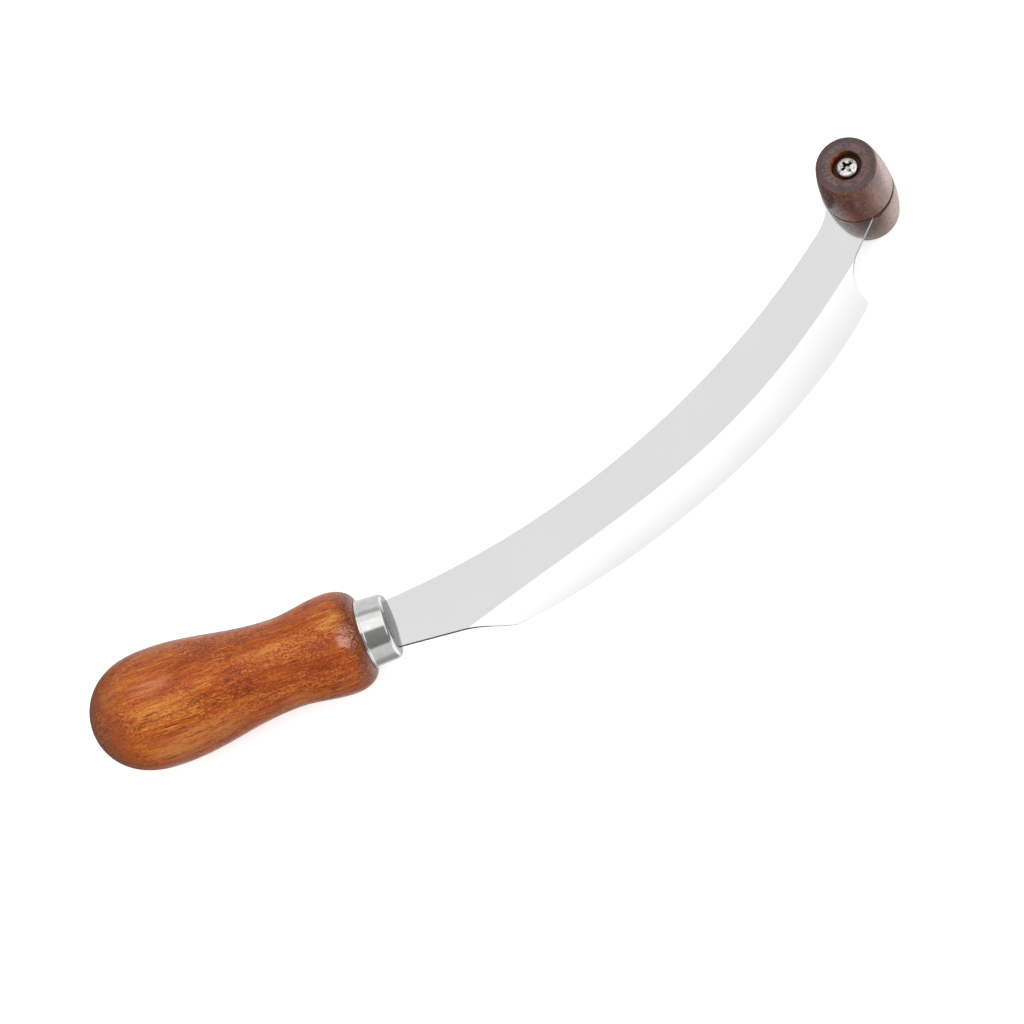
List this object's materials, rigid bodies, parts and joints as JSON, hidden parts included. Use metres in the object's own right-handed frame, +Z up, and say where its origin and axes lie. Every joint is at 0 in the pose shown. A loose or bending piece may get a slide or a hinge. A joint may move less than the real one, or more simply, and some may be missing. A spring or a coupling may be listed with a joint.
{
  "type": "curved two-grip hand knife",
  "caption": "Bowed steel knife, sharp on its outer curve, with a turned wooden palm handle and ferrule at one end and a turning barrel-shaped cross grip at the other.",
  "frame": {"origin": "middle of the bounding box, on the surface the knife lies on, with the blade level", "axes": "+X along the handle's axis from the butt towards the blade, +Y towards the blade's inner, unsharpened side, +Z up, along the cross grip's axis towards the screw's head"},
  "size_m": [0.204, 0.082, 0.0267],
  "materials": {
    "blade_steel": "mirror-polished flats, finely ground hollow bevels",
    "ferrule_steel": "bright, drawn and polished",
    "handle_wood": "orange-brown hardwood with dark pores, clear gloss lacquer",
    "grip_wood": "dark reddish-brown hardwood, waxed",
    "screw_steel": "bright nickel plate",
    "resin": "set adhesive"
  },
  "bodies": {
    "knife": {"blade": "blade_steel", "handle": "handle_wood", "ferrule": "ferrule_steel", "tang_resin": "resin"},
    "cross_grip": {"grip_top_half": "grip_wood", "grip_bottom_half": "grip_wood", "grip_screw": "screw_steel", "nut_washer": "screw_steel", "grip_nut": "screw_steel"}
  },
  "joints": [
    {"name": "cross_grip_turn", "type": "hinge", "parent": "knife", "child": "cross_grip", "pos_m": [0.0941, 0.03303, 0.01335], "axis": [0, 0, 1], "continuous": true}
  ]
}
